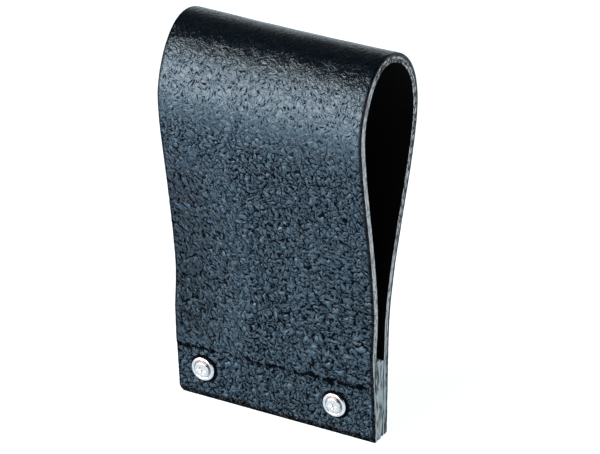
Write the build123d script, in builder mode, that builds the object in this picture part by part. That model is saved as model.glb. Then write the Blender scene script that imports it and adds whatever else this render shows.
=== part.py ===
from build123d import *
import os

# A belt loop: one lined leather strap, folded over into a tall loop that a belt passes through.
# Its two ends are clamped on two spacers by a pair of rivets, each set over a washer in front.
#
# Millimetres. X runs across the strap, with 0 in the middle of its width. The front faces -Y, with
# Y 0 halfway between the loop's two bulges. Z 0 is the trimmed lower edge.

# Overall sizes
strap_width = 60.0
loop_height = 108.4
loop_depth = 30.1

# Leather
grain_ply = 1.5
lining_ply = 0.9
end_corner = 2.0  # rounding of the stack's lower left corner

# Clamped end: the spacers taper towards the lower edge, where the rivets press them
clamp_height = 24.0
spacer_top = 2.1
spacer_foot = 0.95
spacer_round = 0.6
clamp_forward_top = 3.6  # how far the clamp's middle is ahead of the loop's, at its top
clamp_forward_foot = 2.9
trim_allowance = 3.0  # left below the lower edge, then trimmed off square

# Loop
crown_rise = 18.9  # from the walls' greatest bulge up to the top
crown_forward = 1.0  # how far the top is ahead of the loop's middle
waist_rise = 11.0  # from the clamp up to the front wall's narrowest place
waist_pinch = 0.55
back_straight = 4.0  # the back wall runs on straight this far above the clamp
bend_steps = 30  # points that each of the strap's faces passes through round the loop

# Rivets
rivet_height = 9.0
rivet_margin_left = 8.1  # from each rivet's axis to its edge of the strap
rivet_margin_right = 11.9
shank_radius = 1.75
crater_radius = 0.6
crater_depth = 2.5
head_radius = 3.5
head_thickness = 1.0
head_round = 0.7
washer_thickness = 0.9
washer_round = 0.45
clinch_overhang = 0.5  # the clinched end spreads this far over its washer
clinch_thickness = 0.45
clinch_round = 0.3
seat_depth = 0.3  # how far a head or a washer sinks into the leather
fit_gap = 0.08  # round a shank, a head or a washer

# The loop's inner face, seen from the right: a point's X is the part's Y, and its Y is the part's Z
strap_thickness = grain_ply + lining_ply
inner_belly = loop_depth / 2 - strap_thickness
belly_height = loop_height - crown_rise
clamp_foot = Vector(-clamp_forward_foot, 0)
clamp_top = Vector(-clamp_forward_top, clamp_height)
front_foot = clamp_foot - Vector(spacer_foot, 0)
front_top = clamp_top - Vector(spacer_top, 0)
back_foot = clamp_foot + Vector(spacer_foot, 0)
back_top = clamp_top + Vector(spacer_top, 0)
front_rise = (front_top - front_foot).normalized()
back_rise = (back_top - back_foot).normalized()
front_waist = front_top + Vector(waist_pinch, waist_rise)
front_belly = Vector(-inner_belly, belly_height)
crown = Vector(-crown_forward, loop_height - strap_thickness)
back_belly = Vector(inner_belly, belly_height)
back_waist = back_top + back_rise * back_straight
up, down, rearward = Vector(0, 1), Vector(0, -1), Vector(1, 0)

with BuildLine() as bend:
    Spline(front_top, front_waist, tangents=(front_rise, up))
    Spline(front_waist, front_belly, tangents=(up, up), tangent_scalars=(0.9, 0.7))
    Spline(front_belly, crown, tangents=(up, rearward), tangent_scalars=(0.7, 1.2))
    Spline(crown, back_belly, tangents=(rearward, down), tangent_scalars=(0.7, 1.7))
    Spline(back_belly, back_waist, tangents=(down, -back_rise), tangent_scalars=(0.7, 1.1))
loop_curve = bend.wire()

# The rivets' plane: in the middle of the clamp, its z axis pointing out of the front
clamp_rise = (clamp_top - clamp_foot).normalized()
rivet_middle = clamp_foot + clamp_rise * (rivet_height / clamp_rise.Y)
rivet_plane = Plane(
    origin=(0, rivet_middle.X, rivet_middle.Y),
    x_dir=(1, 0, 0),
    z_dir=(0, -clamp_rise.Y, clamp_rise.X),
)
outward = Axis(rivet_plane.origin, rivet_plane.z_dir)
spacer_at_rivet = spacer_foot + (spacer_top - spacer_foot) * rivet_height / clamp_height
seat = spacer_at_rivet + strap_thickness - seat_depth
rivet_places = {
    "left": rivet_margin_left - strap_width / 2,
    "right": strap_width / 2 - rivet_margin_right,
}


def disc(radius, height, places):
    """Circles square to the rivets, this far in front of the clamp's middle."""
    with BuildSketch(rivet_plane.offset(height)) as circles:
        with Locations(*[(place, 0) for place in places]):
            Circle(radius)
    return circles.sketch


def strap_face(distance):
    """Draws the strap's face this far out from the loop's inner face, and gives its two ends."""
    steps = [step / bend_steps for step in range(bend_steps + 1)]
    points = [
        loop_curve @ t + (loop_curve % t).rotate(Axis.Z, 90) * distance for t in steps
    ]
    front_length = (front_top - front_foot).length + trim_allowance
    back_length = (back_waist - back_foot).length + trim_allowance
    front = Line(points[0] - front_rise * front_length, points[0])
    Spline(*points, tangents=(front_rise, -back_rise))
    rear = Line(points[-1], points[-1] - back_rise * back_length)
    return front @ 0, rear @ 1


def ply(inside, outside):
    """A folded ply of the strap, between two distances out from the loop's inner face."""
    with BuildSketch(Plane.YZ) as section:
        with BuildLine():
            near_front, near_rear = strap_face(inside)
            far_front, far_rear = strap_face(outside)
            Line(near_front, far_front)
            Line(near_rear, far_rear)
        make_face()
    extrude(section.sketch, amount=strap_width / 2, both=True)


def trim_foot():
    """Trims the part being made at Z 0 and rounds its lower left corner."""
    split(bisect_by=Plane.XY, keep=Keep.TOP)
    fillet(edges().group_by(Axis.Z)[0].filter_by(Axis.Y).group_by(Axis.X)[0], end_corner)


def drill():
    """Cuts the two shanks' holes through the part being made."""
    holes = disc(shank_radius + fit_gap, 0, rivet_places.values())
    extrude(holes, amount=seat + strap_thickness, both=True, mode=Mode.SUBTRACT)


def finish(part, name):
    part.label = name
    export_step(part, f"parts/{name}.step")


os.makedirs("parts", exist_ok=True)

# Strap, outer ply with the grain
with BuildPart() as strap_outer:
    ply(lining_ply, strap_thickness)
    trim_foot()
    drill()
    for side in (1, -1):
        seats = disc(head_radius + fit_gap, side * seat, rivet_places.values())
        extrude(seats, amount=side * strap_thickness, mode=Mode.SUBTRACT)
finish(strap_outer.part, "strap_outer")

# Strap, lining ply
with BuildPart() as strap_lining:
    ply(0, lining_ply)
    trim_foot()
    drill()
finish(strap_lining.part, "strap_lining")


# Spacers
def spacer(outer_foot, outer_top):
    """A tapered spacer between the clamp's middle and one wall's inner face."""
    with BuildPart() as plate:
        with BuildSketch(Plane.YZ) as section:
            with BuildLine():
                Polyline(clamp_foot, outer_foot, outer_top, clamp_top, close=True)
            make_face()
            fillet(section.vertices().group_by(Axis.Y)[-1], spacer_round)
        extrude(amount=strap_width / 2, both=True)
        trim_foot()
        drill()
    return plate.part


finish(spacer(front_foot, front_top), "spacer_front")
finish(spacer(back_foot, back_top), "spacer_rear")


# Rivets and washers
def rivet(place):
    """Head at the back, shank through the stack, and the end clinched over the washer."""
    washer_face = seat + washer_thickness
    tip = washer_face + clinch_thickness
    with BuildPart() as body:
        extrude(disc(head_radius, -seat, [place]), amount=-head_thickness)
        fillet(body.edges().sort_by(outward)[0], head_round)
        extrude(disc(shank_radius + clinch_overhang, washer_face, [place]), amount=clinch_thickness)
        fillet(body.edges().sort_by(outward)[-1], clinch_round)
        extrude(disc(shank_radius, -seat, [place]), amount=seat + washer_face)
        extrude(disc(crater_radius, tip, [place]), amount=-crater_depth, mode=Mode.SUBTRACT)
    return body.part


def washer(place):
    """A ring with a rounded rim, seated in the leather."""
    with BuildPart() as ring:
        extrude(disc(head_radius, seat, [place]), amount=washer_thickness)
        fillet(ring.edges().sort_by(outward)[-1], washer_round)
        hole = disc(shank_radius + fit_gap, seat, [place])
        extrude(hole, amount=washer_thickness, mode=Mode.SUBTRACT)
    return ring.part


for side, place in rivet_places.items():
    finish(rivet(place), f"rivet_{side}")
    finish(washer(place), f"washer_{side}")
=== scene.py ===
"""Looks of a leather belt loop: pebbled outer ply, lining, two spacers, two rivets and washers.

Everything here is in millimetres until it is written to a mesh, which is in metres.
"""

import math

import bpy
import numpy as np
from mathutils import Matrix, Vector

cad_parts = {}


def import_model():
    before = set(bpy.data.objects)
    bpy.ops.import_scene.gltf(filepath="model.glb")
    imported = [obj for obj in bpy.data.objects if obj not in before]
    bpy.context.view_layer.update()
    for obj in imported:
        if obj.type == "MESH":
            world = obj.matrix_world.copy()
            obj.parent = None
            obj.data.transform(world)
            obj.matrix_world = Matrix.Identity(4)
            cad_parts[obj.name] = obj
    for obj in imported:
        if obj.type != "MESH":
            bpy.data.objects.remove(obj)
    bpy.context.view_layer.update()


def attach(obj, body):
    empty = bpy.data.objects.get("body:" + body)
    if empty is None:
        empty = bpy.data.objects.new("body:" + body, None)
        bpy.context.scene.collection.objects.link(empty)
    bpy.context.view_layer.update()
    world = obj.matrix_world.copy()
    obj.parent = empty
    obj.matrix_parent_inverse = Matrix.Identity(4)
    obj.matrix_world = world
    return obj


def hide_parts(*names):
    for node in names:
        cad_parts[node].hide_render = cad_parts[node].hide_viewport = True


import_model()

MM = 0.001

# ---------------------------------------------------------------- sizes, as in the CAD model
WIDTH = 60.0
LINING = 0.9
THICK = 2.4
CLAMP_HEIGHT = 24.0
FRONT_FOOT, FRONT_TOP = np.array([-3.85, 0.0]), np.array([-5.7, CLAMP_HEIGHT])
BACK_FOOT, BACK_TOP = np.array([-1.95, 0.0]), np.array([-1.5, CLAMP_HEIGHT])
FRONT_WAIST = np.array([-5.15, 35.0])
BELLY = 12.65
BELLY_HEIGHT = 89.5
CROWN = np.array([-1.0, 106.0])
CLAMP_FOOT, CLAMP_TOP = np.array([-2.9, 0.0]), np.array([-3.6, CLAMP_HEIGHT])
CORNER = 2.0
RIVET_HEIGHT = 9.0
RIVET_X = {"left": -21.9, "right": 18.1}
HEAD_RADIUS = 3.5
SHANK_RADIUS = 1.75
WASHER_HOLE = 1.83
SEAT = 3.481  # from the clamp's middle to the sunk face under a washer or a head


def unit(v):
    v = np.asarray(v, float)
    return v / np.linalg.norm(v)


FRONT_RISE = unit(FRONT_TOP - FRONT_FOOT)
BACK_RISE = unit(BACK_TOP - BACK_FOOT)
CLAMP_RISE = unit(CLAMP_TOP - CLAMP_FOOT)
CLAMP_OUT = np.array([-CLAMP_RISE[1], CLAMP_RISE[0]])


# ---------------------------------------------------------------- the loop's line
def hermite(p0, p1, t0, t1, a=1.0, b=1.0, n=300):
    """A cubic from p0 to p1 whose end tangents are a and b times the chord."""
    p0, p1 = np.asarray(p0, float), np.asarray(p1, float)
    chord = np.linalg.norm(p1 - p0)
    m0, m1 = unit(t0) * a * chord, unit(t1) * b * chord
    t = np.linspace(0, 1, n)[:, None]
    return (
        (2 * t**3 - 3 * t**2 + 1) * p0
        + (t**3 - 2 * t**2 + t) * m0
        + (3 * t**2 - 2 * t**3) * p1
        + (t**3 - t**2) * m1
    )


def loop_line():
    """Points along the loop's inner face, front foot to back foot, and their outward normals."""
    up, down, rearward = (0, 1), (0, -1), (1, 0)
    front_belly, back_belly = (-BELLY, BELLY_HEIGHT), (BELLY, BELLY_HEIGHT)
    back_waist = BACK_TOP + BACK_RISE * 4.0
    spans = [
        np.linspace(FRONT_FOOT, FRONT_TOP, 100),
        hermite(FRONT_TOP, FRONT_WAIST, FRONT_RISE, up),
        hermite(FRONT_WAIST, front_belly, up, up, 0.9, 0.7),
        hermite(front_belly, CROWN, up, rearward, 0.7, 1.2),
        hermite(CROWN, back_belly, rearward, down, 0.7, 1.7),
        hermite(back_belly, back_waist, down, -BACK_RISE, 0.7, 1.1),
        np.linspace(back_waist, BACK_FOOT, 120),
    ]
    pts = np.vstack([spans[0]] + [s[1:] for s in spans[1:]])
    tan = np.gradient(pts, axis=0)
    tan /= np.linalg.norm(tan, axis=1)[:, None]
    nor = np.stack([-tan[:, 1], tan[:, 0]], 1)
    return pts, nor


LINE, NORMAL = loop_line()
OUTER = LINE + NORMAL * THICK
RUN = np.concatenate([[0], np.cumsum(np.linalg.norm(np.diff(OUTER, axis=0), axis=1))])
RUN_END = RUN[-1]
RIVET_SPOTS = [(x, y) for x in RIVET_X.values() for y in (RIVET_HEIGHT, RUN_END - RIVET_HEIGHT)]


def along(run):
    """Inner point and outward normal at a distance along the outer face."""
    p = np.stack([np.interp(run, RUN, LINE[:, k]) for k in (0, 1)], -1)
    n = np.stack([np.interp(run, RUN, NORMAL[:, k]) for k in (0, 1)], -1)
    return p, n / np.linalg.norm(n, axis=-1, keepdims=True)


def smooth(t, a, b):
    """0 below a, 1 above b, and smooth between them."""
    t = np.clip((np.asarray(t, float) - a) / (b - a), 0, 1)
    return t * t * (3 - 2 * t)


# ---------------------------------------------------------------- node graphs
class Graph:
    """Writes texture and math nodes, the same way in a shader and in a geometry tree.

    The shader draws the colours and the bump, and the geometry tree gives the mesh its relief.
    """

    def __init__(self, tree):
        self.tree = tree

    def node(self, kind, inputs=(), out=0, **props):
        n = self.tree.nodes.new(kind)
        for k, v in props.items():
            setattr(n, k, v)
        for k, v in dict(inputs).items():
            if isinstance(v, bpy.types.NodeSocket):
                self.tree.links.new(v, n.inputs[k])
            elif v is not None:
                n.inputs[k].default_value = v
        return n.outputs[out]

    def math(self, op, a, b=None, c=None, clamp=False):
        return self.node(
            "ShaderNodeMath", {0: a, 1: b, 2: c}, operation=op, use_clamp=clamp
        )

    def add(self, a, b):
        return self.math("ADD", a, b)

    def mul(self, a, b):
        return self.math("MULTIPLY", a, b)

    def mad(self, a, b, c):
        return self.math("MULTIPLY_ADD", a, b, c)

    def span(self, x, a, b, lo=0.0, hi=1.0, kind="SMOOTHSTEP"):
        return self.node(
            "ShaderNodeMapRange",
            {"Value": x, "From Min": a, "From Max": b, "To Min": lo, "To Max": hi},
            interpolation_type=kind,
        )

    def noise(self, vec, scale, detail=2.0, rough=0.5, seed=0.0, colour=False, dims="3D"):
        shifted = self.vec("ADD", vec, (seed * 17.3, seed * 7.9, seed * 3.1))
        return self.node(
            "ShaderNodeTexNoise",
            {"Vector": shifted, "Scale": scale, "Detail": detail, "Roughness": rough},
            out=1 if colour else 0,
            noise_dimensions=dims,
        )

    def voronoi(self, vec, scale, feature="F1"):
        return self.node(
            "ShaderNodeTexVoronoi",
            {"Vector": vec, "Scale": scale},
            feature=feature,
            voronoi_dimensions="2D",
        )

    def vec(self, op, a, b=None, scale=None):
        ins = {0: a, 1: b}
        if scale is not None:
            ins["Scale"] = scale
        return self.node("ShaderNodeVectorMath", ins, operation=op)

    def xyz(self, vec):
        n = self.tree.nodes.new("ShaderNodeSeparateXYZ")
        self.tree.links.new(vec, n.inputs[0])
        return n.outputs[0], n.outputs[1], n.outputs[2]

    def join(self, x, y, z=0.0):
        return self.node("ShaderNodeCombineXYZ", {0: x, 1: y, 2: z})

    def warp(self, vec, scale, amount, seed=0.0):
        """Coordinates moved about by noise, by up to about amount."""
        c = self.noise(vec, scale, 1.0, 0.5, seed, colour=True, dims="2D")
        off = self.vec("SCALE", self.vec("SUBTRACT", c, (0.5, 0.5, 0.5)), scale=2.0 * amount)
        return self.vec("ADD", vec, off)

    def mix(self, f, a, b):
        """a and b are numbers or number sockets."""
        return self.node("ShaderNodeMix", {0: f, 2: a, 3: b}, data_type="FLOAT")

    def tint(self, f, a, b):
        """a and b are colours or colour sockets."""
        return self.node("ShaderNodeMix", {0: f, 6: a, 7: b}, out=2, data_type="RGBA")


def field(points, build):
    """Evaluates a graph at points, an (n, 3) array in mm, and gives an array of n numbers."""
    me = bpy.data.meshes.new("field")
    me.vertices.add(len(points))
    me.vertices.foreach_set("co", np.ascontiguousarray(points, np.float32).ravel())
    ob = bpy.data.objects.new("field", me)
    bpy.context.collection.objects.link(ob)
    tree = bpy.data.node_groups.new("field", "GeometryNodeTree")
    tree.interface.new_socket("Geometry", in_out="INPUT", socket_type="NodeSocketGeometry")
    tree.interface.new_socket("Geometry", in_out="OUTPUT", socket_type="NodeSocketGeometry")
    start, end = tree.nodes.new("NodeGroupInput"), tree.nodes.new("NodeGroupOutput")
    g = Graph(tree)
    value = build(g, g.node("GeometryNodeInputPosition"))
    store = tree.nodes.new("GeometryNodeStoreNamedAttribute")
    store.data_type, store.domain = "FLOAT", "POINT"
    store.inputs["Name"].default_value = "value"
    tree.links.new(start.outputs[0], store.inputs["Geometry"])
    tree.links.new(value, store.inputs["Value"])
    tree.links.new(store.outputs[0], end.inputs[0])
    ob.modifiers.new("field", "NODES").node_group = tree
    dg = bpy.context.evaluated_depsgraph_get()
    got = ob.evaluated_get(dg).data.attributes["value"]
    out = np.zeros(len(points), np.float32)
    got.data.foreach_get("value", out)
    bpy.data.objects.remove(ob)
    bpy.data.meshes.remove(me)
    bpy.data.node_groups.remove(tree)
    return out.astype(float)


def noise_at(x, y, z, scale, detail, rough, seed):
    """The shader's noise at points in mm."""
    points = np.stack(np.broadcast_arrays(x, y, z), 1)
    return field(points, lambda g, v: g.noise(v, scale, detail, rough, seed))


# ---------------------------------------------------------------- the leather's grain
# Flat coordinates: x across the strap, y along its outer face from the front foot, in mm.
# Stretches of y, each given by where it fades in and where it fades out.
BEND = (74, 97), (164, 142)
CROWN_TOP = (99.0, 107.0), (138.0, 126.0)
DARK_BAND = (107.0, 111.0), (119.0, 115.0)


def zone(g, *bounds):
    """Product of smooth steps: each bound is (value, from, to)."""
    value = None
    for v, lo, hi in bounds:
        step = g.span(v, lo, hi)
        value = step if value is None else g.mul(value, step)
    return value


def within(g, y, fade_in, fade_out):
    """1 inside a stretch of y, 0 outside it."""
    return zone(g, (y, *fade_in), (y, *fade_out))


def foot_distance(g, y):
    """Distance along the face from the nearer foot."""
    return g.math("MINIMUM", y, g.math("SUBTRACT", RUN_END, y))


def stretched(g, p, angle, length):
    """Coordinates in which cells come out longer along angle, in degrees."""
    c, s = math.cos(math.radians(angle)), math.sin(math.radians(angle))
    x, y, _ = g.xyz(p)
    a = g.mad(x, c, g.mul(y, s))
    b = g.mad(x, -s, g.mul(y, c))
    return g.join(g.mul(a, length), b)


def strokes(g, p, scale, width):
    """Thin creases between cells: 1 on the crease's line, 0 past its width."""
    edge = g.voronoi(p, scale, "DISTANCE_TO_EDGE")
    return g.math("SUBTRACT", 1.0, g.math("DIVIDE", edge, width), clamp=True), edge


def grain(g, flat):
    """Pebble height, crease depth, warped coordinates, the bend, and the creases' shoulders."""
    x, y, _ = g.xyz(flat)
    bend = within(g, y, *BEND)
    left = zone(g, (x, -4, -17), (y, 84, 62), (y, 14, 20))
    right = zone(g, (x, 0, 15), (y, 66, 46), (y, 14, 20))
    p = g.warp(flat, 0.28, 1.2, 1.0)
    p = g.warp(p, 0.95, 0.45, 2.0)
    fine = g.warp(p, 2.2, 0.20, 3.0)
    # creases come and go through two gates, and vary in width
    gate = g.span(g.noise(p, 0.95, 2.0, 0.6, 4.0, dims="2D"), 0.42, 0.54)
    gate2 = g.span(g.noise(p, 0.50, 2.0, 0.6, 5.0, dims="2D"), 0.40, 0.52)
    wide = g.mad(g.noise(p, 0.8, 1.0, 0.5, 6.0, dims="2D"), 0.34, 0.01)
    # plain pebbles, slanting ones at the lower left, level ones at the right, small ones between
    slant_width = g.math("MINIMUM", g.mul(wide, 1.1), 0.15)
    plain, plain_edge = strokes(g, fine, 0.60, wide)
    slant, slant_edge = strokes(g, stretched(g, fine, -50, 0.40), 0.66, slant_width)
    level, level_edge = strokes(g, stretched(g, fine, -6, 0.48), 0.64, wide)
    small, _ = strokes(g, fine, 1.02, 0.15)
    big = g.mix(right, g.mix(left, plain, slant), level)
    crease = g.math("MAXIMUM", g.mul(big, gate), g.mul(g.mul(small, gate2), 0.7))
    # long slanting folds at the lower left
    calm = g.warp(g.warp(flat, 0.25, 1.0, 17.0), 0.9, 0.55, 18.0)
    long, fold = strokes(g, stretched(g, calm, -56, 0.36), 0.56, 0.125)
    folds = g.mul(long, g.mul(left, g.span(gate, 0.0, 1.0, 0.20, 1.0)))
    crease = g.math("MAXIMUM", g.mul(crease, g.mad(left, -0.30, 1.0)), folds)
    # fine pits over the bend, fewer on its crown
    spot = g.voronoi(stretched(g, fine, 80, 0.50), 1.25)
    pits = g.mul(g.span(spot, 0.34, 0.10), gate2)
    pits = g.math("MAXIMUM", g.mul(pits, 0.60), g.mul(g.mul(small, gate), 0.20))
    crease = g.mix(bend, crease, pits)
    crease = g.mul(crease, g.mad(within(g, y, *CROWN_TOP), -0.6, 1.0))
    # pebbles rise from the creases, and their edges have shoulders
    edge = g.mix(right, g.mix(left, plain_edge, slant_edge), level_edge)
    dome = g.mix(g.mul(left, 0.5), g.span(edge, 0.0, 0.40), g.span(fold, 0.0, 0.45))
    # this mask also carries a painted highlight in the leather's colour
    shoulder = g.mul(g.span(edge, 0.10, 0.19), g.span(edge, 0.34, 0.22))
    shoulder = g.mul(g.mul(shoulder, gate), g.mad(bend, -0.7, 1.0))
    return g.mix(bend, dome, g.mad(dome, 0.2, 0.7)), crease, p, bend, shoulder


def relief(g, flat):
    """The grain's real relief in mm, from about -0.2 in a crease to 0.06 on a pebble."""
    dome, crease, p, bend, _ = grain(g, flat)
    h = g.mad(dome, 0.13, -0.07)
    h = g.add(h, g.mul(crease, g.mad(bend, 0.12, -0.19)))
    swell = g.mad(g.noise(p, 0.5, 2.0, 0.5, 7.0, dims="2D"), 0.10, -0.05)
    return g.add(h, g.mul(swell, g.mad(bend, -0.6, 1.0)))


# ---------------------------------------------------------------- meshes
def spaced(lo, hi, step, fine):
    """From lo to hi at about step, with the finer steps in fine next to each end."""
    ends = np.cumsum(fine)
    count = max(2, round((hi - lo - 2 * ends[-1]) / step) + 1)
    inner = np.linspace(lo + ends[-1], hi - ends[-1], count)
    return np.concatenate([[lo], lo + ends[:-1], inner, (hi - ends[:-1])[::-1], [hi]])


def lattice(nu, nv, nw):
    """The surface of an nu x nv x nw block of points: the points' indices and its outward quads."""
    def at(i, j, k):
        return (i * nv + j) * nw + k

    quads = []

    def sheet(f, na, nb, flip):
        a, b = np.meshgrid(np.arange(na - 1), np.arange(nb - 1), indexing="ij")
        q = np.stack([f(a, b), f(a + 1, b), f(a + 1, b + 1), f(a, b + 1)], -1).reshape(-1, 4)
        quads.append(q[:, ::-1] if flip else q)

    for k, flip in ((0, True), (nw - 1, False)):
        sheet(lambda a, b, k=k: at(a, b, k), nu, nv, flip)
    for j, flip in ((0, False), (nv - 1, True)):
        sheet(lambda a, b, j=j: at(a, j, b), nu, nw, flip)
    for i, flip in ((0, True), (nu - 1, False)):
        sheet(lambda a, b, i=i: at(i, a, b), nv, nw, flip)
    quads = np.vstack(quads)
    used, where = np.unique(quads, return_inverse=True)
    index = np.stack(np.unravel_index(used, (nu, nv, nw)), 1)
    return index, where.reshape(-1, 4)


def make_object(name, verts, faces, flat=None, materials=(), face_mats=None, sharp=50):
    """A mesh object from points in mm, with the flat coordinates that its materials read."""
    me = bpy.data.meshes.new(name)
    me.vertices.add(len(verts))
    me.vertices.foreach_set("co", np.ascontiguousarray(verts * MM, np.float32).ravel())
    sizes = np.array([len(f) for f in faces])
    corners = np.concatenate([np.asarray(f) for f in faces])
    starts = np.concatenate([[0], np.cumsum(sizes)[:-1]])
    me.loops.add(int(sizes.sum()))
    me.loops.foreach_set("vertex_index", corners.astype(np.int32))
    me.polygons.add(len(faces))
    me.polygons.foreach_set("loop_start", starts.astype(np.int32))
    me.update(calc_edges=True)
    me.validate()
    if flat is not None:
        at = me.attributes.new("flat", "FLOAT_VECTOR", "POINT")
        at.data.foreach_set("vector", np.ascontiguousarray(flat, np.float32).ravel())
    for m in materials:
        me.materials.append(m)
    if face_mats is not None:
        me.polygons.foreach_set("material_index", face_mats.astype(np.int32))
    me.polygons.foreach_set("use_smooth", np.ones(len(faces), bool))
    me.set_sharp_from_angle(angle=math.radians(sharp))
    ob = bpy.data.objects.new(name, me)
    bpy.context.collection.objects.link(ob)
    return ob


def rounded(q, lo, hi, radius):
    """Moves points on a box's surface onto the box with rounded edges. radius is per point."""
    r = radius[:, None]
    core = np.clip(q, lo + r, hi - r)
    d = q - core
    length = np.linalg.norm(d, axis=1, keepdims=True)
    return np.where(length > 1e-9, core + d / np.maximum(length, 1e-9) * r, q)


def round_corner(x, height):
    """Draws x in from the left side, so that the lower left corner is rounded."""
    below = np.clip(CORNER - height, 0, CORNER)
    left = -WIDTH / 2 + CORNER - np.sqrt(np.maximum(CORNER**2 - below**2, 0))
    return left + (x + WIDTH / 2) * (WIDTH / 2 - left) / WIDTH


# ---------------------------------------------------------------- materials
def new_material(name):
    m = bpy.data.materials.new(name)
    m.use_nodes = True
    m.node_tree.nodes.clear()
    g = Graph(m.node_tree)
    out = m.node_tree.nodes.new("ShaderNodeOutputMaterial")
    bsdf = m.node_tree.nodes.new("ShaderNodeBsdfPrincipled")
    m.node_tree.links.new(bsdf.outputs[0], out.inputs[0])
    return m, g, bsdf


def plug(g, bsdf, **sockets):
    for k, v in sockets.items():
        k = k.replace("_", " ")
        if isinstance(v, bpy.types.NodeSocket):
            g.tree.links.new(v, bsdf.inputs[k])
        else:
            bsdf.inputs[k].default_value = v


def bump(g, height_mm, strength=1.0):
    return g.node("ShaderNodeBump", {"Strength": strength, "Distance": MM, "Height": height_mm})


def flat_of(g):
    n = g.tree.nodes.new("ShaderNodeAttribute")
    n.attribute_name = "flat"
    return n.outputs["Vector"]


def attribute(g, name):
    n = g.tree.nodes.new("ShaderNodeAttribute")
    n.attribute_name = name
    return n.outputs["Fac"]


def grain_leather():
    m, g, b = new_material("grain_leather")
    flat = flat_of(g)
    x, y, _ = g.xyz(flat)
    dome, crease, p, bend, shoulder = grain(g, flat)
    speck = g.noise(p, 2.6, 3.0, 0.65, 8.0, dims="2D")
    cloud = g.noise(flat, 0.06, 3.0, 0.55, 9.0, dims="2D")
    # the lower left of the front, where painted shade darkens the colour and dulls the gloss
    shade = zone(g, (x, -12.0, -26.0), (y, 80.0, 62.0), (y, 14.0, 24.0))
    # the crown of the bend: painted shade in the colour, and less roughness
    crown_shade_and_gloss = within(g, y, *CROWN_TOP)
    # painted shade from the press attribute, broken up by speck
    ragged = g.span(g.add(attribute(g, "press"), g.mad(speck, 0.8, -0.4)), 0.35, 0.75)
    low = foot_distance(g, y)
    chips = g.span(g.noise(flat, 1.5, 3.0, 0.7, 10.0, dims="2D"), 0.56, 0.64)
    worn = g.mul(chips, g.span(low, 3.0, 1.4))
    sides = g.span(g.math("ABSOLUTE", x), WIDTH / 2 - 1.15, WIDTH / 2 - 0.45)
    rim = g.math("MAXIMUM", sides, g.span(low, 0.85, 0.35))

    # colour: each row lays one over the rest, by a mask and a strength
    base = g.tint(
        g.span(speck, 0.32, 0.70), (0.0032, 0.0138, 0.0305, 1), (0.0066, 0.0228, 0.0465, 1)
    )
    for mask, strength, colour in (
        (g.span(cloud, 0.35, 0.7), 0.5, (0.0062, 0.0200, 0.0345, 1)),
        # painted shade over the lower left
        (shade, 0.92, (0.0020, 0.0080, 0.0180, 1)),
        # painted highlight along the creases' shoulders
        (shoulder, 0.75, (0.019, 0.052, 0.092, 1)),
        # painted shade over the crown of the bend
        (crown_shade_and_gloss, 0.88, (0.0010, 0.0016, 0.0026, 1)),
        # painted shade in the creases
        (g.span(crease, 0.07, 0.55), 0.96, (0.0003, 0.0008, 0.0020, 1)),
        # painted shade: press line, washer shadows and lower edge
        (ragged, 0.92, (0.0004, 0.0007, 0.0013, 1)),
        (worn, 0.8, (0.055, 0.075, 0.090, 1)),
        # darker strip along the sides and the feet
        (rim, 0.9, (0.0010, 0.0013, 0.0020, 1)),
    ):
        base = g.tint(g.mul(mask, strength), base, colour)

    # roughness: each row adds its share of a mask
    rough = g.mad(speck, 0.20, 0.38)
    creased = g.math("MAXIMUM", crease, ragged)
    for mask, share in ((bend, -0.09), (shoulder, -0.08), (crown_shade_and_gloss, -0.12), (creased, 0.3)):
        rough = g.mad(mask, share, rough)

    # height for the bump, in mm, with less of everything on the bend
    h = g.mul(crease, g.mad(bend, 0.20, -0.40))
    h = g.add(h, g.mul(speck, g.mad(bend, -0.01, 0.07)))
    h = g.add(h, g.mul(dome, g.mad(bend, -0.20, 0.32)))
    h = g.mad(g.noise(p, 1.25, 2.0, 0.6, 15.0, dims="2D"), 0.24, h)

    # creases, the darkened strip along the sides and feet, the middle of the crown and the painted
    # shade mirror little
    dull = g.span(crease, 0.08, 0.60)
    for mask in (
        ragged,
        g.mul(rim, 0.85),
        g.mul(within(g, y, *DARK_BAND), 0.88),
        g.mul(shade, 0.40),
    ):
        dull = g.math("MAXIMUM", dull, mask)
    plug(g, b, Base_Color=base, Roughness=rough, Normal=bump(g, h))
    plug(g, b, Specular_IOR_Level=g.span(dull, 0.0, 1.0, 0.68, 0.02, "LINEAR"))
    plug(g, b, IOR=1.5, Specular_Tint=(0.50, 0.79, 1.0, 1))
    return m


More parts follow.
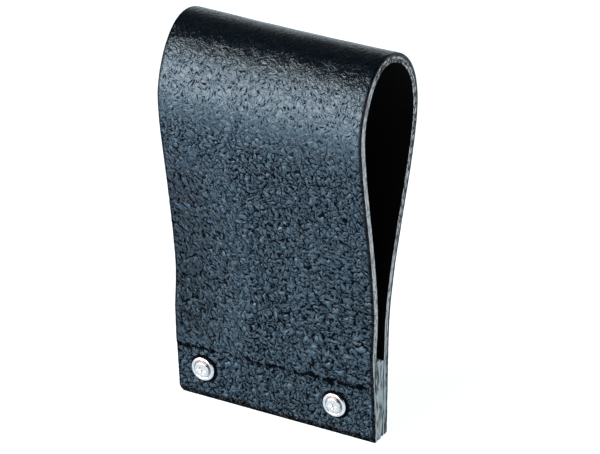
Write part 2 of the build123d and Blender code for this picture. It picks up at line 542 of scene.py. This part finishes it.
def cut_edge(name, light, dark, streak, walls):
    """A cut through leather: fibres along the strap, dark where the dye has run.

    walls is 1 for the strap's own edge and 0 for the spacers'.
    """
    m, g, b = new_material(name)
    x, y, d = g.xyz(flat_of(g))
    along_fibres = g.join(g.mul(d, 1.6), g.mul(y, 0.35), g.mul(x, 0.35))
    fibre = g.noise(g.warp(along_fibres, 1.0, 0.5, 1.5), 1.7, 4.0, 0.65, 2.5)
    fuzz = g.noise(g.join(d, y, x), 3.0, 3.0, 0.7, 3.5)
    stain = g.noise(g.join(g.mul(d, 0.8), y, x), 0.22, 3.0, 0.6, 4.5)
    f = g.span(fibre, 0.50 - streak, 0.60)
    col = g.tint(f, dark, light)
    col = g.tint(g.mul(g.span(stain, 0.56, 0.72), 0.55), col, dark)
    col = g.tint(g.mul(g.span(fuzz, 0.5, 0.75), 0.35), col, (0.40, 0.42, 0.44, 1))
    # the walls are dyed further in behind the bend, blotched over it, and streaked in the clamp
    clamp = g.span(foot_distance(g, y), 30.0, 21.0)
    streaks = g.noise(g.join(g.mul(d, 0.9), g.mul(y, 0.13), g.mul(x, 0.2)), 1.5, 3.0, 0.6, 5.5)
    lines = g.tint(g.span(streaks, 0.42, 0.52), (0.015, 0.02, 0.025, 1), (0.33, 0.39, 0.41, 1))
    col = g.tint(g.mul(clamp, 0.90), col, lines)
    blotch = g.noise(g.join(g.mul(d, 0.9), g.mul(y, 0.62), g.mul(x, 0.5)), 1.0, 3.0, 0.6, 6.5)
    crown = g.mul(g.mul(g.span(y, 104.0, 110.0), g.span(y, 134.0, 124.0)), walls)
    blots = g.mul(g.span(blotch, 0.46, 0.54), crown)
    col = g.tint(g.mul(blots, 0.9), col, (0.012, 0.014, 0.018, 1))
    behind = g.mul(g.span(y, 112.0, 120.0), walls)
    deep = g.span(g.add(d, g.mad(blotch, 0.8, -0.4)), 1.25, 1.55)
    patchy = g.mul(g.span(blotch, 0.47, 0.60), g.span(y, RUN_END - 45, RUN_END - 60))
    dyed = g.mul(g.math("MAXIMUM", deep, patchy), behind)
    col = g.tint(g.mul(dyed, 0.94), col, (0.006, 0.007, 0.010, 1))
    h = g.mad(fibre, 0.16, g.mul(fuzz, 0.05))
    plug(g, b, Base_Color=col, Roughness=g.mad(fuzz, 0.2, 0.7), Normal=bump(g, h, 0.8))
    plug(g, b, Specular_IOR_Level=0.25)
    return m


def lining_leather():
    m, g, b = new_material("lining_leather")
    flat = flat_of(g)
    pores = g.noise(flat, 1.6, 4.0, 0.6, 1.0)
    folds = g.noise(g.vec("MULTIPLY", flat, (0.10, 0.5, 1.0)), 1.0, 2.0, 0.5, 2.0)
    # black lining, darkened past the leather's own black as painted shade for the inside of the
    # loop
    base = g.tint(
        g.span(pores, 0.4, 0.7), (0.0005, 0.0005, 0.0007, 1), (0.0016, 0.0016, 0.0020, 1)
    )
    plug(g, b, Base_Color=base, Roughness=g.mad(pores, 0.2, 0.55))
    plug(g, b, Normal=bump(g, g.mad(pores, 0.03, g.mul(folds, 0.12)), 0.7))
    plug(g, b, Specular_IOR_Level=0.08)
    return m


def nickel():
    m, g, b = new_material("nickel")
    pos = g.node("ShaderNodeTexCoord", out=3)
    mm = g.vec("SCALE", pos, scale=1 / MM)
    along_x = g.vec("MULTIPLY", g.warp(mm, 0.4, 0.8, 1.0), (0.7, 6.0, 6.0))
    scratch = g.noise(along_x, 1.3, 3.0, 0.6, 1.0)
    haze = g.noise(mm, 0.9, 3.0, 0.6, 2.0)
    base = g.tint(g.span(haze, 0.35, 0.7), (0.62, 0.64, 0.67, 1), (0.48, 0.50, 0.53, 1))
    plug(g, b, Base_Color=base, Metallic=1.0, Roughness=g.mad(haze, 0.16, 0.10))
    plug(g, b, Normal=bump(g, g.mul(scratch, 0.012), 0.5))
    return m


GRAIN = grain_leather()
EDGE = cut_edge("cut_edge", (0.52, 0.54, 0.56, 1), (0.04, 0.045, 0.055, 1), 0.18, 1.0)
STACK = cut_edge("stack_edge", (0.34, 0.41, 0.44, 1), (0.015, 0.02, 0.025, 1), 0.05, 0.0)
LINING_FACE = lining_leather()
NICKEL = nickel()


# ---------------------------------------------------------------- the strap's two plies
BELLY_RUN = 93.0  # where the front is fullest, along the outer face
LEAN = 0.34


def crease_line(x):
    """Height of the press line that runs across the front above the rivets."""
    return 15.9 + 0.85 * x / 30 + 0.18 * np.sin(x * 0.55 + 1.0) + 0.12 * np.sin(x * 1.35)


def from_crease(x, y):
    """Distance above the press line, which is ragged."""
    return y - crease_line(x) - (noise_at(x, y, 0, 0.55, 2.0, 0.6, 12.0) - 0.5) * 3.0


def shaping(x, y):
    """How far the outer face stands off its plain line, in mm: press line, dents, waves."""
    wave = noise_at(x, y, 0, 0.035, 2.0, 0.5, 11.0)
    patchy = noise_at(x, y, 0, 0.30, 2.0, 0.6, 13.0)
    h = (wave - 0.5) * 0.9 * smooth(y, 26, 50) * smooth(RUN_END - y, 26, 50)
    # the bend leans a little: fuller below at the left, above at the right
    from_belly = y - BELLY_RUN
    lean = np.cos(np.clip(from_belly / 80, -0.5, 0.5) * math.pi) ** 2
    lean *= smooth(WIDTH / 2 - np.abs(x), 0, 6)
    h += LEAN * (x / (WIDTH / 2)) * np.sin(from_belly * math.tau / 60) * lean
    # press line on the front
    off = from_crease(x, y)
    deep = 0.20 + 0.22 * smooth(x, 8, 24) - 0.12 * smooth(-x, 22, 30)
    deep *= 0.55 + 0.9 * patchy
    h -= deep * np.exp(-((off / 0.46) ** 2))
    h += 0.30 * smooth(off, 0.0, 1.2) * np.exp(-np.clip(off, 0, None) / 4.5)
    # round the rivets, front and back
    for rx, ry in RIVET_SPOTS:
        r = np.hypot(x - rx, y - ry)
        h -= 0.40 * (1 - smooth(r, 3.2, 3.65)) + 0.14 * np.exp(-np.clip(r - 3.4, 0, None) / 1.4)
    # the lower edge is pressed thinner
    h -= 0.16 * np.exp(-np.clip(y, 0, None) / 1.6)
    return h


def painted_shade_mask(x, y):
    """Painted shade on the face, 0 to 1: in the press line, beside the washers' rims, and along the
    lower edge.
    """
    broken = noise_at(x, y, 0, 0.42, 2.0, 0.6, 14.0)
    off = from_crease(x, y)
    strength = (0.45 + 1.10 * smooth(broken, 0.38, 0.58)) * (0.75 + 0.4 * smooth(x, 4, 22))
    width = 0.30 + 0.7 * broken + 0.5 * smooth(x, 8, 22)
    dark = strength * np.exp(-((off / width) ** 2)) * smooth(29.5 - x, 0, 3)
    # a painted shadow round each washer, reaching furthest on its shadow side
    for rx, ry in RIVET_SPOTS:
        r = np.hypot(x - rx, y - ry)
        shadow_side = 0.5 + 0.5 * np.cos(np.arctan2(y - ry, x - rx) - 0.6)
        dark = np.maximum(dark, 1.15 * (1 - smooth(r - 0.75 * shadow_side, 3.60, 4.0)))
    # painted shade along the lower edge
    low = np.minimum(y, RUN_END - y)
    return np.maximum(dark, 0.85 * (1 - smooth(low, 0.8, 3.4)))


def strap_ply(name, inner, outer, ends, step_u, step_x, depth_rows, mats):
    """A folded ply between two distances from the loop's inner face. ends are its feet's heights.

    Material 0 is the face and 1 the cut edge. Only the outer ply has grain, dents and a dyed rim.
    """
    has_grain = outer > LINING + 0.01
    us = spaced(0, RUN_END, step_u, [0.12, 0.14, 0.2])
    xs = spaced(-WIDTH / 2, WIDTH / 2, step_x, [0.12, 0.14, 0.2])
    ds = spaced(inner, outer, (outer - inner) / depth_rows, [0.1, 0.15])
    index, quads = lattice(len(xs), len(us), len(ds))
    q = np.stack([xs[index[:, 0]], us[index[:, 1]], ds[index[:, 2]]], 1)
    on_side = (index[:, 0] == 0) | (index[:, 0] == len(xs) - 1)
    lo, hi = np.array([-WIDTH / 2, 0, inner]), np.array([WIDTH / 2, RUN_END, outer])
    radius = np.where(q[:, 2] > (inner + outer) / 2, 0.38, 0.12)
    q = rounded(q, lo, hi, radius)
    x, u, d = q.T.copy()
    flat = np.stack([x, u, d], 1)

    # the cut sides: slightly wavy, fibrous, and drawn in along the seam between the plies
    side_in = np.sign(x) * smooth(np.abs(x), WIDTH / 2 - 1.2, WIDTH / 2)
    which_side = np.sign(x) * 20
    wob = noise_at(0, u, which_side, 0.12, 3.0, 0.6, 21.0)
    fib = noise_at(d * 2.2, u, which_side, 1.1, 3.0, 0.7, 22.0)
    seam = noise_at(0, u, which_side, 0.16, 2.0, 0.6, 23.0)
    x = x - side_in * (0.22 * wob + 0.14 * fib * on_side)
    at_seam = np.exp(-np.abs(d - LINING) / 0.16)
    x = x - side_in * at_seam * 0.30 * smooth(seam, 0.42, 0.60)

    near_end = np.minimum(u, RUN_END - u)
    x = round_corner(x, near_end)

    # out from the line, with both feet square to the floor
    p, n = along(u)
    lift = np.zeros((len(u), 2))
    for rise, foot, low, dist in (
        (FRONT_RISE, FRONT_FOOT, ends[0], u),
        (BACK_RISE, BACK_FOOT, ends[1], RUN_END - u),
    ):
        w = 1 - smooth(dist, 0, 7.0)
        gap = foot[1] - (p + n * d[:, None])[:, 1] + dist * rise[1]
        lift += (w * (gap + low))[:, None] * rise / rise[1]
    h = np.zeros(len(u))
    if has_grain:
        grain_h = field(np.stack([x, u, 0 * u], 1), relief)
        edge_fade = smooth(WIDTH / 2 - np.abs(x), 0.0, 0.9) * smooth(near_end, 0.0, 0.8)
        h = shaping(x, u) + grain_h * (0.25 + 0.75 * edge_fade)
        h *= smooth(d, inner + 0.2, outer - 0.1)
    yz = p + n * (d + h)[:, None] + lift
    verts = np.stack([x, yz[:, 0], yz[:, 1]], 1)

    side_faces = on_side[quads].all(1)
    end_faces = ((index[:, 1] == 0) | (index[:, 1] == len(us) - 1))[quads].all(1)
    cut = side_faces | end_faces
    # the outermost part of a cut edge is dyed with the face
    dyed = cut & has_grain & (d[quads].mean(1) > outer - 0.50)
    face_mats = np.where(cut & ~dyed, 1, 0)
    ob = make_object(name, verts, quads, flat, mats, face_mats, sharp=60)
    # the press attribute holds painted shade: the press line, shadows by the washers and the lower
    # edge
    at = ob.data.attributes.new("press", "FLOAT", "POINT")
    at.data.foreach_set("value", painted_shade_mask(flat[:, 0], flat[:, 1]).astype(np.float32))
    return ob


outer_ply = strap_ply(
    "strap_outer_grain", LINING, THICK, (0.0, 0.35), 0.42, 0.42, 4, [GRAIN, EDGE]
)
lining_ply = strap_ply(
    "strap_lining_inside", 0.0, LINING, (0.12, 0.3), 0.9, 1.2, 3, [LINING_FACE, EDGE]
)
for ob, node, slot in (
    (outer_ply, "strap_outer", "grain_leather"),
    (lining_ply, "strap_lining", "lining_leather"),
):
    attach(ob, "root")
    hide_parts(node)


# ---------------------------------------------------------------- spacers
def spacer(name, foot, top, sign, low, high):
    """A tapered plate between the clamp's middle and a wall, frayed at its foot.

    sign is its side, and low and high are its ends' heights.
    """
    xs = spaced(-WIDTH / 2, WIDTH / 2, 0.9, [0.1, 0.14, 0.25])
    zs = spaced(low, high, 0.4, [0.1, 0.15, 0.25])
    ts = np.linspace(0, 1, 8)
    index, quads = lattice(len(xs), len(zs), len(ts))
    x, z, t = xs[index[:, 0]], zs[index[:, 1]], ts[index[:, 2]]
    side = np.stack([x, z, sign * 40 + t * 2.0], 1)
    on_side = (index[:, 0] == 0) | (index[:, 0] == len(xs) - 1)
    which_side = np.sign(x) * 20
    fib = noise_at(side[:, 2] * 1.8, z, which_side, 0.9, 3.0, 0.7, 31.0)
    wob = noise_at(side[:, 2], z, which_side, 0.25, 3.0, 0.6, 32.0)
    f = (z / CLAMP_HEIGHT)[:, None]
    mid = CLAMP_FOOT + (CLAMP_TOP - CLAMP_FOOT) * f
    wall = foot + (top - foot) * f
    # thins towards the foot, so that a wedge opens beside the wall
    open_foot = (1 - smooth(z, 0.0, 5.0)) * (0.30 + 0.16 * np.sin(x * 0.21 + sign))
    wall = wall + (mid - wall) * open_foot[:, None]
    # rounded top
    r = 0.6
    crown = r - np.sqrt(np.maximum(r**2 - np.clip(r - (high - z), 0, r) ** 2, 0))
    thick = np.linalg.norm(wall - mid, axis=1)
    tt = t * (1 - crown / np.maximum(thick, 0.5))
    yz = mid + (wall - mid) * tt[:, None]
    side_in = np.sign(x) * smooth(np.abs(x), WIDTH / 2 - 1.4, WIDTH / 2)
    x = x - side_in * (0.10 + 0.30 * wob + 0.20 * fib * on_side)
    x = round_corner(x, z)
    verts = np.stack([x, yz[:, 0], yz[:, 1]], 1)
    if sign > 0:
        quads = quads[:, ::-1]
    return make_object(name, verts, quads, side, [STACK], None, sharp=60)


for name, foot, top, sign, low, high in (
    ("spacer_front", FRONT_FOOT, FRONT_TOP, -1, 0.05, 23.7),
    ("spacer_rear", BACK_FOOT, BACK_TOP, 1, 0.3, 22.8),
):
    ob = spacer(name + "_plate", foot, top, sign, low, high)
    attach(ob, "root")
    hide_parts(name)


# ---------------------------------------------------------------- rivets and washers
def placed(local, rx):
    """Rivet coordinates (x, up the clamp, out of the front) to the row frame."""
    mid = CLAMP_FOOT + CLAMP_RISE * (RIVET_HEIGHT / CLAMP_RISE[1])
    yz = mid + local[:, 1:2] * CLAMP_RISE + local[:, 2:3] * CLAMP_OUT
    return np.stack([local[:, 0] + rx, yz[:, 0], yz[:, 1]], 1)


def turned(name, profile, rx, shape=None, count=96, closed=True):
    """A turned piece from (radius, height) pairs. shape(r, angle, height) gives a new height."""
    prof = np.array(profile, float)
    ang = np.linspace(0, 2 * math.pi, count, endpoint=False)
    r = prof[:, 0][:, None] + 0 * ang
    z = prof[:, 1][:, None] + 0 * ang
    if shape is not None:
        z = shape(r, ang[None, :] + 0 * r, z)
    ring = np.stack([r * np.cos(ang), r * np.sin(ang), z], -1)
    n = len(prof)
    verts = ring.reshape(-1, 3)
    i, j = np.meshgrid(np.arange(n if closed else n - 1), np.arange(count), indexing="ij")
    i2, j2 = (i + 1) % n, (j + 1) % count
    corners = [i * count + j, i * count + j2, i2 * count + j2, i2 * count + j]
    faces = [list(f) for f in np.stack(corners, -1).reshape(-1, 4)]
    if not closed:
        faces.append(list(range(count))[::-1])
        faces.append([(n - 1) * count + k for k in range(count)])
    return make_object(name, placed(verts, rx), faces, None, [NICKEL], None, sharp=40)


def arc(cr, cz, radius, a0, a1, n):
    """n points of an arc about (cr, cz), between two angles in degrees."""
    angles = np.radians(np.linspace(a0, a1, n))
    return [(cr + radius * math.cos(a), cz + radius * math.sin(a)) for a in angles]


WASHER_TOP = SEAT + 0.9
TIP = WASHER_TOP + 0.45
CLINCH_RADIUS = 2.15


def washer_profile():
    """The washer's section: a rolled rim, a crown that dips to the hole, and the hole's wall."""
    roll, bevel = 0.62, 0.08
    rim = arc(HEAD_RADIUS - roll, WASHER_TOP - roll, roll, 0, 78, 10)
    dips = ((2.80, 0.005), (2.60, 0.04), (2.46, 0.16), (2.38, 0.42), (2.1, 0.46))
    crown = [(r, WASHER_TOP - dip) for r, dip in dips]
    hole = [(WASHER_HOLE, WASHER_TOP - 0.46), (WASHER_HOLE, SEAT)]
    return [(HEAD_RADIUS - bevel, SEAT), (HEAD_RADIUS, SEAT + bevel)] + rim + crown + hole


def clinch_shape(seed):
    """The rolled end: split in a rough star, dished in the middle."""
    rng = np.random.default_rng(seed)
    lobes = np.sort(rng.uniform(-0.22, 0.22, 6) + np.arange(6) * math.pi / 3)
    depth = rng.uniform(0.12, 0.24, 6)
    reach = rng.uniform(1.15, 1.75, 6)

    def shape(r, ang, z):
        top = z > WASHER_TOP + 0.1
        cut = np.zeros_like(z)
        for a, dp, rc in zip(lobes, depth, reach):
            off = np.abs((ang - a + math.pi) % (2 * math.pi) - math.pi) * np.maximum(r, 0.25)
            reached = smooth(rc - r, 0.0, 0.5) * smooth(r, 0.1, 0.5)
            cut += dp * np.exp(-((off / 0.16) ** 2)) * reached
        lumps = 0.035 * np.sin(ang * 3 + seed) * smooth(r, 0.3, 1.2) * smooth(2.2 - r, 0.1, 0.5)
        return np.where(top, z - np.minimum(cut, 0.3) + lumps * (z > WASHER_TOP + 0.2), z)

    return shape


def clinch_profile():
    """Head behind, shank and rolled end, as one line that starts and ends by the axis."""
    dome = [(r, -SEAT - 1.0 + 0.52 * (r / HEAD_RADIUS) ** 3.2) for r in np.linspace(0.05, 3.3, 14)]
    rim = arc(HEAD_RADIUS - 0.3, -SEAT - 0.30, 0.3, -50, 60, 6)
    under = [(HEAD_RADIUS - 0.3, -SEAT), (SHANK_RADIUS, -SEAT)]
    shank = [(SHANK_RADIUS, SEAT), (SHANK_RADIUS, WASHER_TOP - 0.40), (1.95, WASHER_TOP - 0.38)]
    roll = arc(CLINCH_RADIUS - 0.30, TIP - 0.34, 0.30, -60, 85, 9)
    dish = [
        (r, TIP - 0.04 - 0.10 * (1 - r / SHANK_RADIUS) ** 1.3)
        for r in np.linspace(SHANK_RADIUS, 0.45, 12)
    ]
    pit = [(0.38, TIP - 0.22), (0.34, TIP - 0.6), (0.25, TIP - 0.8), (0.05, TIP - 0.82)]
    return dome + rim + under + shank + roll + dish + pit


for side, seed in (("left", 3), ("right", 8)):
    rx = RIVET_X[side]
    body = turned("rivet_" + side + "_set", clinch_profile(), rx, clinch_shape(seed), closed=False)
    ring = turned("washer_" + side + "_ring", washer_profile(), rx)
    for ob, node in ((body, "rivet_" + side), (ring, "washer_" + side)):
        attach(ob, "root")
        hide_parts(node)


# ---------------------------------------------------------------- floor, light and camera
def floor():
    me = bpy.data.meshes.new("floor")
    s = 6.0
    me.from_pydata([(-s, -s, 0), (s, -s, 0), (s, s, 0), (-s, s, 0)], [], [(0, 1, 2, 3)])
    ob = bpy.data.objects.new("floor", me)
    bpy.context.collection.objects.link(ob)
    m, g, b = new_material("floor")
    plug(g, b, Base_Color=(0.22, 0.23, 0.24, 1), Roughness=0.9, Specular_IOR_Level=0.0)
    plug(g, b, Emission_Color=(0.84, 0.95, 1.0, 1), Emission_Strength=1.12)
    me.materials.append(m)


def softbox(name, place, aim, size, power, colour):
    """An area light, in metres and watts, that the camera doesn't see."""
    data = bpy.data.lights.new(name, "AREA")
    data.shape = "RECTANGLE"
    data.size, data.size_y = size
    data.energy = power
    data.color = colour
    ob = bpy.data.objects.new(name, data)
    bpy.context.collection.objects.link(ob)
    ob.location = place
    ob.rotation_euler = (Vector(aim) - Vector(place)).to_track_quat("-Z", "Y").to_euler()
    ob.visible_camera = False
    return ob


def world():
    """Bright near the horizon and dark above."""
    w = bpy.data.worlds.new("studio")
    bpy.context.scene.world = w
    w.use_nodes = True
    w.node_tree.nodes.clear()
    g = Graph(w.node_tree)
    direction = g.node("ShaderNodeTexCoord", out=0)
    _, _, up = g.xyz(direction)
    col = g.tint(g.span(up, 0.05, 0.32), (0.96, 1.03, 1.10, 1), (0.012, 0.016, 0.022, 1))
    bg = w.node_tree.nodes.new("ShaderNodeBackground")
    w.node_tree.links.new(col, bg.inputs[0])
    bg.inputs[1].default_value = 1.0
    out = w.node_tree.nodes.new("ShaderNodeOutputWorld")
    w.node_tree.links.new(bg.outputs[0], out.inputs[0])


def camera():
    """A long lens from the front right, above, with the loop a little left of the middle."""
    azimuth, elevation, distance = math.radians(30.0), math.radians(26.1), 1.089
    look = Vector((
        -math.sin(azimuth) * math.cos(elevation),
        math.cos(azimuth) * math.cos(elevation),
        -math.sin(elevation),
    ))
    right = Vector((math.cos(azimuth), math.sin(azimuth), 0))
    up = right.cross(look)
    aim = Vector((0, 0, 0.054)) + right * 0.0032151 - up * 0.0008297
    data = bpy.data.cameras.new("camera")
    data.sensor_fit, data.sensor_width = "HORIZONTAL", 36.0
    data.lens = 252.0
    data.clip_start, data.clip_end = 0.01, 50
    ob = bpy.data.objects.new("camera", data)
    bpy.context.collection.objects.link(ob)
    ob.location = aim - look * distance
    ob.rotation_euler = look.to_track_quat("-Z", "Y").to_euler()
    bpy.context.scene.camera = ob


floor()
softbox("key", (-0.22, -0.36, 0.15), (0.0, 0.0, 0.10), (0.50, 0.29), 6.8, (1.0, 0.74, 0.62))
softbox("side", (0.75, 0.12, 0.30), (0.0, 0.0, 0.06), (0.4, 0.4), 2.0, (0.97, 1.0, 1.0))
softbox("back", (-0.40, 0.70, 0.75), (0.0, 0.0, 0.10), (0.8, 0.30), 0.8, (0.90, 1.0, 1.0))
world()
camera()
bpy.context.scene.view_settings.view_transform = "Standard"
